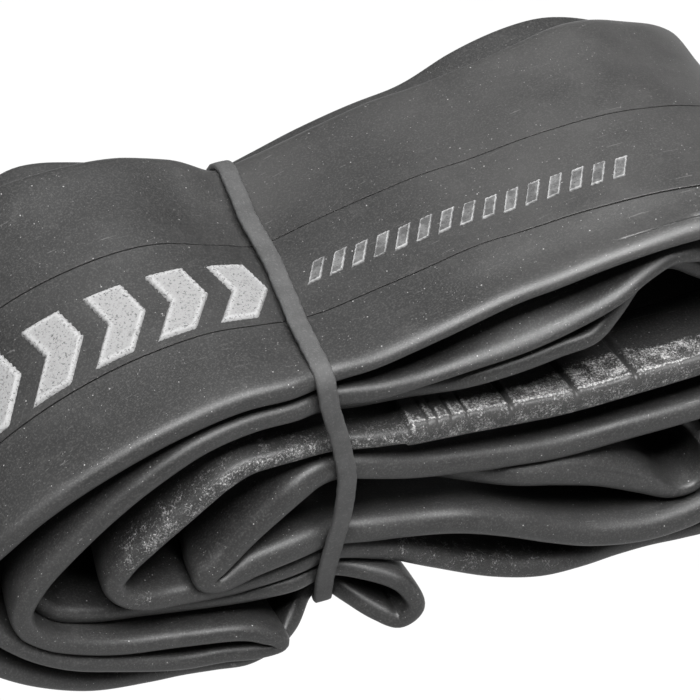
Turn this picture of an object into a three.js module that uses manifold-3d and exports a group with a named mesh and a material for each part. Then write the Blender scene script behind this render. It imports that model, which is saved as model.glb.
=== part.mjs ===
// A butyl bicycle inner tube, pressed flat, folded into a bundle and held by one rubber band.
// Units are millimetres. X runs along the bundle to the valve, Y across the lay-flat width, Z up from the table.
import * as THREE from "three";
import Module from "manifold-3d";

const wasm = await Module();
wasm.setup();

// Driving dimensions of the folded tube.
const LAY_FLAT_WIDTH = 58;
const STRAND_THICKNESS = 1.7; // two pressed walls
const STEPS_PER_STATION = 2;

// Driving dimensions of the rubber band.
const BAND_WIDTH = 2.8;
const BAND_THICKNESS = 1.1;
const BAND_GAP = 0.3;

// Driving dimensions of the valve. U is the distance along the valve from the wall that it is bonded to.
const VALVE_HEIGHT = 28;
const GAP = 0.3;
const PATCH = { along: 34, across: 17, border: 0.7, thickness: 1.0, pad: 7.9, bore: 1.6 };
const COVER = { foot: 1.6, top: 24.5, flare: 7.6, root: 4.9, tip: 4.3, bore: 3.6 };
const INSERT = { foot: 1.9, shoulder: 24.8, top: 34.5, body: 3.3, thread: 3.85, lowBore: 2.4, topBore: 2.7 };
const SEAT = { low: 22, high: 24 };
const BARREL = { low: 17.5, top: 29.3, radius: 2.1, collar: 2.4, neck: 1.7, bore: 1.35, ledge: 0.8, hole: 0.9 };
const PLUG = { low: 29.6, tabs: 31.8, top: 33.4, radius: 2.4, tabWidth: 2.6, bore: 0.95 };
const PIN = { low: 13.6, top: 34.0, radius: 0.6, foot: 1.1, footHeight: 0.7, collar: 1.05, collarLow: 27.6 };
const CUP = { low: 14.6, top: 15.6, radius: 1.75, bore: 0.9 };
const SEAL = { low: 15.9, top: 17.2, radius: 1.7, bore: 0.9 };
const SPRING = { low: 18.6, top: 27.3, radius: 1.0, wire: 0.15, turns: 8 };
const CAP = { low: 25.2, top: 37.8, radius: 5.2, groove: 4.9, ribs: 20, bore: 4.15, roof: 36.0 };
const CAP_GASKET = { low: 34.9, top: 35.7, radius: 3.7 };

// The fold seen from the side, as the mid-line of each strand from one turn to the next, in the order in which
// a finger would follow the tube round its one closed ring. X is measured from the rubber band.
const FOLD = {
  topStrand: [
    [83, 53], [78, 58.5], [70, 62], [62, 63.2], [54, 63.3], [43, 62.4], [35, 61.2], [28, 60.3], [18, 57.8],
    [8.5, 55.6], [0, 53.6], [-6, 53.9], [-14, 54.2], [-24, 52.1], [-35, 48.1], [-44, 43.6], [-51, 38.7], [-57, 33],
  ],
  leftEnd: [[-61, 26.3], [-58.5, 19], [-53.3, 14]],
  bottomStrand: [
    [-47, 8.6], [-39, 4.2], [-30, 1.5], [-25, 0.92], [-20, 0.87], [-15, 0.87], [-10.5, 1], [-6.5, 2.8],
    [-3.2, 6.2], [0, 7.8], [3.5, 6.6], [7, 3.7],
  ],
  teardrop: [[9.8, 1.5], [12.1, 4.6], [10.7, 8.8]],
  overTeardrop: [
    [7, 11], [0, 12.7], [-6, 12.9], [-14, 13.8], [-22, 14.9], [-30, 16.2], [-38, 17.6], [-44, 20.2],
    [-46.7, 24.3], [-44.3, 28.4],
  ],
  fourthStrand: [
    [-39.6, 33], [-34, 37.6], [-28, 41.2], [-20, 44.8], [-12, 46.2], [0, 45.3], [12, 45.3], [21, 45.8],
    [29, 46.9], [36, 47.8], [41.5, 48.6], [45, 50.9], [49.2, 53.7], [53, 54.5], [58, 52.4], [63, 49],
    [70, 44.8], [77, 39.6], [81, 31.8], [78.5, 26],
  ],
  underLoop: [
    [73, 23.9], [61, 24.3], [52, 24.3], [45, 24.2], [36, 24.6], [30, 25.5], [21, 27.3], [13, 29.2], [3, 32.6],
    [-2.5, 32.2], [-6.2, 29.8], [-8.2, 27], [-5.6, 25.6], [-1, 29],
  ],
  innerLoop: [
    [3, 30.1], [13, 27], [21, 25], [30, 22.8], [37, 20.3], [45, 16.8], [52, 13], [58, 10], [62, 9.9],
    [65.2, 12.5], [66, 16.5], [63.5, 19.5], [58, 19.9], [51, 19.7], [48.8, 20.9], [51.5, 22.1],
  ],
  lowStrand: [
    [60, 22.1], [66, 21.3], [69.7, 17], [70.2, 11], [68, 6.6], [63, 4.2], [57, 3.9], [50.8, 4.3], [42.6, 6.1],
    [36, 8.9], [28.6, 12.6], [21, 16.2], [13.4, 19], [5, 20.8], [0, 21], [-4, 21.5], [-12.7, 20.9],
    [-19, 20.1], [-20.7, 21.5], [-19.1, 23],
  ],
  leafStrand: [
    [-16.6, 25.2], [-13.6, 28], [-9.3, 31.4], [-6, 33.8], [-3, 35.1], [0, 35.4], [3.1, 34.9], [12.8, 31.6],
    [21, 29.6], [30, 27.8], [38, 26.8], [48.6, 26.6], [61, 26.5], [70, 26.7], [76.3, 31],
  ],
  spliceStrand: [
    [71, 36.6], [60, 36.3], [50, 36.1], [37, 36.2], [26.5, 37.3], [20.5, 38], [12, 38.9], [0, 40.5], [-8, 41.6],
    [-13.3, 41.6], [-17.3, 40.2], [-22.7, 36.3], [-29, 31.6], [-33, 28.2], [-34.7, 25.3], [-33.3, 22.2],
  ],
  talcStrand: [
    [-29.7, 19.9], [-24.9, 18.6], [-14, 16.9], [-5, 16.7], [0, 17], [5, 16], [10.8, 13.4], [17.3, 9.3],
    [27, 4.4], [35, 1.8], [42, 0.95], [48, 0.87], [54, 0.87], [60, 0.87], [66, 1.3], [74, 4.4], [80.5, 11],
  ],
  valveWall: [[84.6, 19], [84.6, 24], [84.6, 32], [84.6, 37]],
  thirdStrand: [
    [80.5, 43.5], [73, 48.8], [67, 52.5], [62.5, 55.6], [58, 58.1], [54, 58.6], [50, 57.4], [44.5, 55],
    [38, 52.6], [30, 50.8], [21, 49.6], [14, 49.2], [8, 49.2], [0, 49.2], [-5, 49.5], [-12, 49.7],
    [-20, 48.4], [-28, 44.6], [-34, 40.6], [-41, 34.8], [-46, 30.1], [-48.8, 25.4], [-48.2, 21.4],
  ],
  shortTurn: [
    [-45.3, 17.9], [-41, 15.3], [-34.5, 12.6], [-25.3, 10.4], [-15, 8], [-11.4, 5.9], [-9.8, 3.9], [-13, 3.2],
    [-19, 4.2], [-25.6, 5.4], [-35.8, 9.3], [-42.7, 12.6], [-49, 17.4], [-53.3, 22.3], [-54.2, 27],
  ],
  secondStrand: [
    [-51.6, 31.5], [-47.5, 35.4], [-43, 38.9], [-36, 43.4], [-28, 47.6], [-20, 50.7], [-12, 52], [-5, 51.7],
    [0, 51.4], [8.5, 53.3], [18, 55.4], [28, 57.9], [35, 58.8], [43, 59.9], [54, 60.9], [62, 60.9],
    [70, 59.6], [77, 56], [80.6, 51.8],
  ],
};

const WALL_FACE = 84.6 + STRAND_THICKNESS / 2;
const VALVE_TIP = WALL_FACE + CAP.top;

function material(colour, roughness, metalness = 0) {
  return new THREE.MeshStandardMaterial({ color: colour, roughness, metalness });
}

const BUTYL = material(0x2b2b2c, 0.62);
const BAND_RUBBER = material(0x6d6a66, 0.8);
const STEM_RUBBER = material(0x1f1f20, 0.7);
const BRASS = material(0xb08d4a, 0.35, 1);
const STEEL = material(0x9c9ea1, 0.35, 1);
const SEAL_RUBBER = material(0x8c2f27, 0.75);
const CAP_PLASTIC = material(0x161617, 0.5);

const group = new THREE.Group();

function add(name, geometry, skin) {
  const mesh = new THREE.Mesh(geometry, skin);
  mesh.name = name;
  group.add(mesh);
  return mesh;
}

// A manifold-3d solid of a geometry, for the few pieces that are joined or cut.
function solidOf(geometry) {
  const flat = geometry.index ? geometry.toNonIndexed() : geometry;
  const keys = new Map();
  const points = [];
  const corners = [];
  const position = flat.attributes.position;
  for (let i = 0; i < position.count; i++) {
    const p = [position.getX(i), position.getY(i), position.getZ(i)];
    const key = p.map((v) => Math.round(v * 1e4)).join();
    if (!keys.has(key)) {
      keys.set(key, points.length / 3);
      points.push(...p);
    }
    corners.push(keys.get(key));
  }
  const faces = [];
  for (let i = 0; i < corners.length; i += 3) {
    const [a, b, c] = corners.slice(i, i + 3);
    if (a !== b && b !== c && a !== c) faces.push(a, b, c);
  }
  return new wasm.Manifold(
    new wasm.Mesh({
      numProp: 3,
      vertProperties: new Float32Array(points),
      triVerts: new Uint32Array(faces),
    }),
  );
}

function geometryOf(solid) {
  const mesh = solid.getMesh();
  const positions = new Float32Array(mesh.numVert * 3);
  for (let i = 0; i < mesh.numVert; i++) {
    positions.set(mesh.vertProperties.subarray(i * mesh.numProp, i * mesh.numProp + 3), i * 3);
  }
  const geometry = new THREE.BufferGeometry();
  geometry.setAttribute("position", new THREE.BufferAttribute(positions, 3));
  geometry.setIndex(new THREE.BufferAttribute(mesh.triVerts, 1));
  return geometry;
}

// The mid-line of the whole fold: one closed curve in the side plane.
function foldMidLine() {
  const stations = Object.values(FOLD).flat();
  const curve = new THREE.CatmullRomCurve3(
    stations.map(([x, z]) => new THREE.Vector3(x, z, 0)),
    true,
    "centripetal",
  );
  const count = stations.length * STEPS_PER_STATION;
  return Array.from({ length: count }, (_, i) => curve.getPoint(i / count));
}

// The mid-line moved sideways by a distance, to give one face of the pressed tube.
function offsetLine(line, distance) {
  return line.map((point, i) => {
    const before = line[(i + line.length - 1) % line.length];
    const after = line[(i + 1) % line.length];
    const inward = new THREE.Vector2(point.x - before.x, point.y - before.y).normalize();
    const outward = new THREE.Vector2(after.x - point.x, after.y - point.y).normalize();
    const along = inward.clone().add(outward).normalize();
    const reach = distance / Math.max(0.8, along.dot(inward));
    return new THREE.Vector2(point.x - along.y * reach, point.y + along.x * reach);
  });
}

// The pressed tube: the ring between the two faces of the fold, as wide as the tube lies flat.
function tubeBody() {
  const line = foldMidLine();
  const shape = new THREE.Shape(offsetLine(line, -STRAND_THICKNESS / 2));
  shape.holes.push(new THREE.Path(offsetLine(line, STRAND_THICKNESS / 2)));
  const geometry = new THREE.ExtrudeGeometry(shape, { depth: LAY_FLAT_WIDTH, bevelEnabled: false });
  geometry.rotateX(Math.PI / 2);
  geometry.translate(0, LAY_FLAT_WIDTH / 2, 0);
  return geometry;
}

// The outline of the bundle's waist in the YZ plane, grown by a distance.
function waistOutline(grow) {
  const half = LAY_FLAT_WIDTH / 2 + grow;
  const top = 53.6 + STRAND_THICKNESS / 2 + grow;
  const bottom = 7.8 - STRAND_THICKNESS / 2 - grow;
  const round = 1.6 + grow;
  const outline = new THREE.Shape();
  outline.moveTo(-half + round, bottom);
  outline.lineTo(half - round, bottom);
  outline.absarc(half - round, bottom + round, round, -Math.PI / 2, 0, false);
  outline.lineTo(half, top - round);
  outline.absarc(half - round, top - round, round, 0, Math.PI / 2, false);
  outline.lineTo(-half + round, top);
  outline.absarc(-half + round, top - round, round, Math.PI / 2, Math.PI, false);
  outline.lineTo(-half, bottom + round);
  outline.absarc(-half + round, bottom + round, round, Math.PI, Math.PI * 1.5, false);
  return outline;
}

function rubberBand() {
  const inner = 1.7 + BAND_GAP;
  const shape = waistOutline(inner + BAND_THICKNESS);
  shape.holes.push(waistOutline(inner));
  const geometry = new THREE.ExtrudeGeometry(shape, {
    depth: BAND_WIDTH,
    bevelEnabled: false,
    curveSegments: 6,
  });
  geometry.rotateX(Math.PI / 2);
  geometry.rotateZ(Math.PI / 2);
  geometry.translate(-BAND_WIDTH / 2, 0, 0);
  return geometry;
}

// Lays a geometry built about +Y, with its height as U, along the valve.
function alongValve(geometry) {
  geometry.rotateZ(-Math.PI / 2);
  geometry.translate(WALL_FACE, 0, VALVE_HEIGHT);
  return geometry;
}

// A turned piece from a closed profile of [radius, U] points, listed with the bore first.
function turned(profile, sides = 32) {
  const closed = [...profile, profile[0]];
  return new THREE.LatheGeometry(closed.map(([r, u]) => new THREE.Vector2(r, u)), sides);
}

function tubeRing(bore, radius, low, top, sides = 32) {
  return turned([[bore, low], [radius, low], [radius, top], [bore, top]], sides);
}

// An oval sheet that lies on the tube's wall, with a round pad under the stem's foot.
function valvePatch() {
  const shape = new THREE.Shape();
  shape.absellipse(0, 0, PATCH.across / 2, PATCH.along / 2, 0, Math.PI * 2, false, 0);
  const sheet = new THREE.ExtrudeGeometry(shape, {
    depth: PATCH.border,
    bevelEnabled: false,
    curveSegments: 20,
  });
  sheet.rotateX(-Math.PI / 2);
  sheet.translate(0, GAP, 0);
  const pad = tubeRing(PATCH.bore, PATCH.pad, GAP + 0.1, GAP + PATCH.thickness);
  const bore = new THREE.CylinderGeometry(PATCH.bore, PATCH.bore, 6, 32);
  return geometryOf(solidOf(sheet).add(solidOf(pad)).subtract(solidOf(bore)));
}

function stemCover() {
  return turned([
    [COVER.bore, COVER.foot],
    [COVER.flare, COVER.foot],
    [COVER.flare, COVER.foot + 0.6],
    [COVER.flare - 1.4, COVER.foot + 1.2],
    [COVER.root + 0.4, COVER.foot + 2.4],
    [COVER.root, COVER.foot + 4.6],
    [COVER.tip, COVER.top - 0.6],
    [COVER.tip - 0.3, COVER.top],
    [COVER.bore, COVER.top],
  ], 40);
}

function stemInsert() {
  return turned([
    [INSERT.lowBore, INSERT.foot],
    [INSERT.body, INSERT.foot],
    [INSERT.body, INSERT.shoulder],
    [INSERT.thread, INSERT.shoulder],
    [INSERT.thread, INSERT.top - 0.5],
    [INSERT.thread - 0.5, INSERT.top],
    [INSERT.topBore, INSERT.top],
    [INSERT.topBore, SEAT.high],
    [INSERT.lowBore, SEAT.low],
  ], 36);
}

function coreBarrel() {
  return turned([
    [BARREL.hole, BARREL.low],
    [BARREL.radius, BARREL.low],
    [BARREL.radius, SEAT.low],
    [BARREL.neck, SEAT.low + 0.2],
    [BARREL.neck, SEAT.high],
    [BARREL.collar, SEAT.high],
    [BARREL.collar, BARREL.top],
    [BARREL.bore, BARREL.top],
    [BARREL.bore, BARREL.low + BARREL.ledge],
    [BARREL.hole, BARREL.low + BARREL.ledge],
  ]);
}

function barrelGasket() {
  const bore = BARREL.neck + GAP * 0.8;
  return turned([[bore, SEAT.low + 0.5], [2.15, SEAT.low + 0.5], [2.33, SEAT.high - 0.3], [bore, SEAT.high - 0.3]]);
}

// The screwed plug on top of the core: a ring with a narrow two-sided tab for the core key.
function corePlug() {
  const ring = solidOf(tubeRing(PLUG.bore, PLUG.radius, PLUG.low, PLUG.tabs, 28));
  const collar = solidOf(tubeRing(PLUG.bore, PLUG.radius, PLUG.tabs - 0.01, PLUG.top, 28));
  const slab = new THREE.BoxGeometry(PLUG.radius * 3, 4, PLUG.tabWidth);
  slab.translate(0, PLUG.top - 1, 0);
  return geometryOf(ring.add(collar.intersect(solidOf(slab))));
}

function corePin() {
  const profile = [
    [0, PIN.low],
    [PIN.foot, PIN.low],
    [PIN.foot, PIN.low + PIN.footHeight],
    [PIN.radius, PIN.low + PIN.footHeight],
    [PIN.radius, PIN.collarLow],
    [PIN.collar, PIN.collarLow],
    [PIN.collar, PIN.collarLow + 0.7],
    [PIN.radius, PIN.collarLow + 0.7],
    [PIN.radius, PIN.top - 0.2],
    [PIN.radius - 0.2, PIN.top],
    [0, PIN.top],
  ];
  return new THREE.LatheGeometry(profile.map(([r, u]) => new THREE.Vector2(r, u)), 20);
}

class Helix extends THREE.Curve {
  getPoint(t, target = new THREE.Vector3()) {
    const angle = t * SPRING.turns * Math.PI * 2;
    const rise = SPRING.top - SPRING.low - 2 * SPRING.wire;
    return target.set(
      SPRING.radius * Math.cos(angle),
      SPRING.low + SPRING.wire + rise * t,
      SPRING.radius * Math.sin(angle),
    );
  }
}

function coreSpring() {
  const wire = new THREE.Shape();
  wire.absarc(0, 0, SPRING.wire, 0, Math.PI * 2, false);
  return new THREE.ExtrudeGeometry(wire, {
    steps: SPRING.turns * 12,
    curveSegments: 3,
    bevelEnabled: false,
    extrudePath: new Helix(),
  });
}

// The dust cap: a ribbed skirt and a domed roof, bored from below.
function capShell() {
  const outline = new THREE.Shape();
  const sides = CAP.ribs * 4;
  for (let i = 0; i < sides; i++) {
    const angle = (i / sides) * Math.PI * 2;
    const radius = i % 4 < 2 ? CAP.radius : CAP.groove;
    const place = [radius * Math.cos(angle), radius * Math.sin(angle)];
    if (i === 0) outline.moveTo(...place);
    else outline.lineTo(...place);
  }
  const skirt = new THREE.ExtrudeGeometry(outline, { depth: CAP.roof - CAP.low - 1.2, bevelEnabled: false });
  skirt.rotateX(-Math.PI / 2);
  skirt.translate(0, CAP.low + 1.2, 0);
  const profile = [
    [0, CAP.low],
    [CAP.radius, CAP.low],
    [CAP.radius, CAP.low + 1.3],
    [CAP.groove - 0.1, CAP.low + 1.3],
    [CAP.groove - 0.1, CAP.roof - 0.1],
    [CAP.radius, CAP.roof - 0.1],
    [CAP.radius - 0.2, CAP.roof + 0.8],
    [CAP.radius - 1.2, CAP.top],
    [0, CAP.top],
  ];
  const core = new THREE.LatheGeometry(profile.map(([r, u]) => new THREE.Vector2(r, u)), 40);
  const bore = new THREE.CylinderGeometry(CAP.bore, CAP.bore, CAP.roof - CAP.low + 2, 40);
  bore.translate(0, (CAP.roof + CAP.low - 2) / 2, 0);
  return geometryOf(solidOf(core).add(solidOf(skirt)).subtract(solidOf(bore)));
}

function capGasket() {
  const disc = new THREE.CylinderGeometry(CAP_GASKET.radius, CAP_GASKET.radius, CAP_GASKET.top - CAP_GASKET.low, 28);
  disc.translate(0, (CAP_GASKET.top + CAP_GASKET.low) / 2, 0);
  return disc;
}

add("tube_body", tubeBody(), BUTYL);
add("rubber_band", rubberBand(), BAND_RUBBER);
add("valve_patch", alongValve(valvePatch()), STEM_RUBBER);
add("stem_cover", alongValve(stemCover()), STEM_RUBBER);
add("stem_insert", alongValve(stemInsert()), BRASS);
add("core_barrel", alongValve(coreBarrel()), BRASS);
add("barrel_gasket", alongValve(barrelGasket()), SEAL_RUBBER);
add("core_plug", alongValve(corePlug()), BRASS);
add("core_pin", alongValve(corePin()), STEEL);
add("core_spring", alongValve(coreSpring()), STEEL);
add("pin_cup", alongValve(tubeRing(CUP.bore, CUP.radius, CUP.low, CUP.top, 24)), BRASS);
add("cup_seal", alongValve(tubeRing(SEAL.bore, SEAL.radius, SEAL.low, SEAL.top, 24)), SEAL_RUBBER);
add("cap_shell", alongValve(capShell()), CAP_PLASTIC);
add("cap_gasket", alongValve(capGasket()), SEAL_RUBBER);

// The origin is under the middle of the whole object, on the table.
const LEFT_END = -61.8;
group.position.x = -(LEFT_END + VALVE_TIP) / 2;

export default group;
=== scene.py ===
import math

import bpy
import numpy as np
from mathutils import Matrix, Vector


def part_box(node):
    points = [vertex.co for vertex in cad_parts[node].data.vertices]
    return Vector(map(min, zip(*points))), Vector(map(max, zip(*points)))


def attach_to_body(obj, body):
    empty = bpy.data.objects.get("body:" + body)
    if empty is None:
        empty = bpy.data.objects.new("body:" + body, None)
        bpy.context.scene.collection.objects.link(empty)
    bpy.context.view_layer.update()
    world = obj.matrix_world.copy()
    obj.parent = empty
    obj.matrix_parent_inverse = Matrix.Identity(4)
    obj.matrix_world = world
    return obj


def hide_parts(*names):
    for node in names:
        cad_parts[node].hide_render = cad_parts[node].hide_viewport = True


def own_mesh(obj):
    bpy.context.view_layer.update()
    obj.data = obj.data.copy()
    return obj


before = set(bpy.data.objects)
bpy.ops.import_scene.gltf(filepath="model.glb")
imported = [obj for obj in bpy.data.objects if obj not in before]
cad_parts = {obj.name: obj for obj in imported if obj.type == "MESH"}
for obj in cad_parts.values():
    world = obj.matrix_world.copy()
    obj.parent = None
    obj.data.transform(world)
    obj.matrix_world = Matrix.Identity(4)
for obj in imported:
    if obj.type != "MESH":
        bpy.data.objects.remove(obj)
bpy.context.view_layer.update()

MM = 0.001

# The fold follows the tube round its one closed ring, strand by strand, as [x, z, y] in millimetres. X is
# measured from the rubber band, Z from the table and Y from the middle of the bundle. The line runs a little
# behind the tube's front edge.
FOLD = {
    "top": [
        [83, 53, -24], [78, 58.5, -26], [70, 62, -28], [62, 63.2, -29], [54, 63.3, -29], [43, 62.4, -29],
        [35, 61.2, -29], [28, 60.3, -29], [18, 57.8, -29], [8.5, 55.6, -29], [0, 53.6, -29], [-6, 53.9, -29],
        [-14, 54.2, -29], [-24, 52.1, -29], [-35, 48.1, -29], [-44, 43.6, -29], [-51, 38.7, -29],
        [-57, 33, -28],
    ],
    "left_end": [[-61, 26.3, -27], [-58.5, 19, -27], [-53.3, 14, -28]],
    "bottom": [
        [-47, 8.6, -28], [-39, 4.3, -28], [-30, 2.0, -27.6], [-25, 1.7, -27.9], [-20, 1.6, -28.7],
        [-15, 1.6, -29.6], [-10.5, 1.6, -28.6], [-6.5, 2.4, -27.2], [-3.2, 5.0, -26], [0, 6.2, -26.4],
        [3.5, 5.0, -28.8], [7, 3.0, -30.4],
    ],
    "teardrop": [[10.0, 1.7, -31.6], [12.4, 4.4, -32.2], [10.8, 8.6, -31.2]],
    "over_teardrop": [
        [7, 11, -29.5], [0, 12.7, -28], [-6, 12.9, -28], [-14, 13.8, -28], [-22, 14.9, -27.5],
        [-30, 16.2, -27], [-38, 17.6, -26.5], [-44, 20.2, -26], [-46.7, 24.3, -24], [-44.3, 28.4, -22],
    ],
    "fourth": [
        [-39.6, 33, -21], [-34, 37.6, -22], [-28, 41.2, -23], [-20, 44.8, -24], [-12, 46.2, -25],
        [0, 45.3, -25], [12, 45.3, -26], [21, 45.8, -28], [29, 46.9, -29], [36, 47.8, -29], [41.5, 48.6, -29],
        [45, 50.9, -28], [49.2, 53.7, -26], [53, 54.5, -24], [58, 52.4, -22], [63, 49, -22], [70, 44.8, -23],
        [77, 39.6, -24], [81, 31.8, -24], [78.5, 26, -24],
    ],
    "under_loop": [
        [73, 23.9, -22], [61, 24.3, -22], [52, 24.3, -22], [45, 24.2, -22], [36, 24.6, -23], [30, 25.5, -23],
        [21, 27.3, -22], [13, 29.2, -20], [3, 32.6, -17], [-2.5, 32.2, -15], [-6.2, 29.8, -15],
        [-8.2, 27, -15], [-5.6, 25.6, -15], [-1, 29, -16],
    ],
    "inner_loop": [
        [3, 30.1, -18], [13, 27, -22], [21, 25.8, -26], [30, 23.7, -29], [37, 21.6, -29.5], [45, 18.2, -29.5],
        [52, 14, -29.5], [57.5, 10.5, -29.5], [61.4, 10.4, -29.5], [64, 13, -29], [64.3, 16.6, -27],
        [62, 19.2, -23], [57, 19.9, -22], [51, 19.7, -22], [48.8, 20.9, -22], [51.5, 22.1, -22],
    ],
    "low": [
        [60, 22.1, -22], [66, 21.3, -22], [69.7, 17.4, -24], [70.2, 12, -27], [68, 7.8, -30], [63, 6.7, -32],
        [57, 6.4, -32.7], [50.8, 6.8, -32.8], [42.6, 8.6, -32.3], [36, 11.4, -31.8], [28.6, 15, -31.1],
        [21, 18, -30.4], [13.4, 19.4, -29.4], [5, 20.8, -29], [0, 21, -28.5], [-4, 21.5, -29],
        [-12.7, 20.9, -29.5], [-19, 20.1, -30], [-20.7, 21.5, -30], [-19.1, 23, -30],
    ],
    "leaf": [
        [-16.6, 25.2, -29.5], [-13.6, 28, -29.5], [-9.3, 31.4, -29.5], [-6, 33.8, -29.5], [-3, 35.1, -29.2],
        [0, 35.4, -29], [3.1, 34.9, -29], [12.8, 31.6, -29], [21, 29.6, -29], [30, 27.8, -29],
        [38, 26.8, -29], [48.6, 26.6, -29], [61, 26.5, -29], [70, 26.7, -28.5], [76.3, 31, -28],
    ],
    "splice": [
        [71, 36.6, -28.5], [60, 36.3, -29], [50, 36.1, -29], [37, 36.2, -29], [26.5, 37.3, -29],
        [20.5, 38, -29], [12, 38.9, -29], [0, 40.5, -28.5], [-8, 41.6, -29], [-13.3, 41.6, -29.2],
        [-17.3, 40.2, -29.5], [-22.7, 36.3, -29.5], [-29, 31.6, -29.5], [-33, 28.2, -29.5],
        [-34.7, 25.3, -29.5], [-33.3, 22.2, -29.5],
    ],
    "talc": [
        [-29.7, 19.9, -29.5], [-24.9, 18.6, -29], [-14, 16.9, -28.5], [-5, 16.7, -28], [0, 17, -28],
        [5, 16, -28], [10.8, 13.4, -28], [17.3, 9.3, -28], [27, 4.6, -29.3], [35, 2.3, -30.1],
        [42, 1.7, -30.1], [48, 1.6, -29.8], [54, 1.6, -29.9], [60, 1.6, -30.5], [66, 1.8, -30.8],
        [74, 4.4, -30], [80.5, 11, -28],
    ],
    "valve_wall": [[84.6, 19, -26], [84.6, 24, -26], [84.6, 32, -25], [84.6, 37, -25]],
    "third": [
        [80.5, 43.5, -24], [73, 48.8, -24.5], [67, 52.5, -26], [62.5, 55.6, -27], [58, 58.1, -28],
        [54, 58.6, -28], [50, 57.4, -28.5], [44.5, 55, -29.5], [38, 52.6, -29.5], [30, 50.8, -29.5],
        [21, 49.6, -29], [14, 49.2, -29], [8, 49.2, -29], [0, 49.2, -28.5], [-5, 49.5, -29], [-12, 49.7, -29],
        [-20, 48.4, -29.3], [-28, 44.6, -29.5], [-34, 40.6, -29.5], [-41, 34.8, -29.5], [-46, 30.1, -29.8],
        [-48.8, 25.4, -30], [-48.2, 21.4, -30],
    ],
    "short_turn": [
        [-45.3, 17.9, -30], [-41, 15.3, -30], [-34.5, 12.6, -30], [-25.3, 10.4, -30], [-15, 8, -30.5],
        [-11.4, 5.9, -31], [-9.8, 3.9, -31], [-13, 3.2, -30.5], [-19, 4.2, -30], [-25.6, 5.4, -30],
        [-35.8, 9.3, -30], [-42.7, 12.6, -30], [-49, 17.4, -29.5], [-53.3, 22.3, -28], [-54.2, 27, -26],
    ],
    "second": [
        [-51.6, 31.5, -24], [-47.5, 35.4, -23], [-43, 38.9, -22], [-36, 43.4, -22], [-28, 47.6, -22],
        [-20, 50.7, -23], [-12, 52, -24], [-5, 51.7, -25], [0, 51.4, -25], [8.5, 53.3, -25], [18, 55.4, -25],
        [28, 57.9, -25], [35, 58.8, -25], [43, 59.9, -24], [54, 60.9, -23], [62, 60.9, -22], [70, 59.6, -22],
        [77, 56, -22], [80.6, 51.8, -22],
    ],
}

LAY_FLAT = 57.0  # width of the pressed tube
FLAT_HALF = 0.85  # half the thickness of the two pressed walls
FRONT_EDGE = 1.6  # how far the front edge lies before the fold's line
# Half the thickness of a folded edge where it has room: the tube springs open most on the loose strands.
BEAD = {
    "top": 1.9, "left_end": 1.8, "bottom": 1.7, "teardrop": 1.5, "over_teardrop": 1.6, "fourth": 1.6,
    "under_loop": 1.2, "inner_loop": 2.6, "low": 2.5, "leaf": 2.3, "splice": 1.9, "talc": 2.0,
    "valve_wall": 1.5, "third": 1.8, "short_turn": 1.6, "second": 1.3,
}
WIDEST_BEAD = max(BEAD.values())
# How much higher a back edge lies than its front edge, against X, for a strand at the bundle's usual height.
BACK_RISE = [
    (-60, 11.6), (-32, 11.3), (-21, 5.2), (-12, 0.9), (-6, 0.2), (-1, -1.4), (4, -5.4), (9, -4.7),
    (15, -3.1), (25, -3.3), (35, -3.1), (40, -1.9), (45, -1), (52, 0.1), (60, 0.5), (68, -0.9),
    (73, -2.6), (78, -2.6), (84, 0),
]
USUAL_HEIGHT = 56.0
# Loose strands that climb behind their front edge, and strands whose back edge lies further back, both as
# (strand, millimetres, X of the middle, reach along X).
LEANS = [
    ("inner_loop", 2.8, 46, 9), ("third", 3.0, 31, 12), ("splice", 2.4, -18, 9), ("leaf", 2.4, -8, 7),
    ("low", 1.2, -12, 7),
]
BACK_REACH = [("second", 1.3, 48, 12), ("top", -3.8, 48, 13), ("second", 1.9, -31, 8), ("top", -2.2, -29, 9)]
STEPS = 8  # rows of the mesh between one point of FOLD and the next
CREASED_STEPS = 40  # the same on the creased part of the splice
CREASED_X = (10, 61)
SEAMS = (14.5, 34.5)  # where the mould's two parting lines run, from the front edge
SEAM_WIDTH = 0.2
SEAM_COLUMNS = (-0.06, -0.03, 0, 0.1, 0.2, 0.23, 0.26)  # columns of the mesh across a parting line
SPLICE_X = 11.7  # end of the overlap where the tube's two ends are joined
SCRATCHES = (14.6, 16.2, 18.4, 20.9)  # fine nicks across the splice's front edge
CREASES = (28, 39, 49)  # where the flattened splice is creased across
CREASE_SLANT = 0.05
CREASE_REACH = 9  # the depth at which a crease stops slanting

ARROWHEAD = {"thick": 5.9, "tall": 12.6, "reach": 2.9, "slant": 1.0, "height": 0.4}
BAR = {"thick": 2.1, "tall": 4.2, "reach": 0, "slant": 1.2, "height": 0.22}

BAND_X = 0.5 * (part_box("rubber_band")[0].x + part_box("rubber_band")[1].x) / MM
BAND_WIDTH = 2.9
BAND_THICKNESS = 1.0

VALVE_HEIGHT = 28
PATCH_GAP = 0.3
WALL_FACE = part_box("valve_patch")[0].x / MM - BAND_X - PATCH_GAP  # the wall that the patch is bonded to
THREAD_PITCH = 0.794  # 32 turns to the inch


def place(points):
    """Metres in the row frame, from millimetres measured from the rubber band."""
    moved = np.array(points, float)
    moved[..., 0] += BAND_X
    return moved * MM


def ease(low, high, value):
    """0 at low and beyond it, 1 at high and beyond it, and smooth between."""
    t = np.clip((value - low) / (high - low), 0, 1)
    return t * t * (3 - 2 * t)


def bump(value, centre, width):
    """1 at the centre, falling away to either side."""
    return np.exp(-(((value - centre) / width) ** 2))


# ---------- geometry helpers


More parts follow.
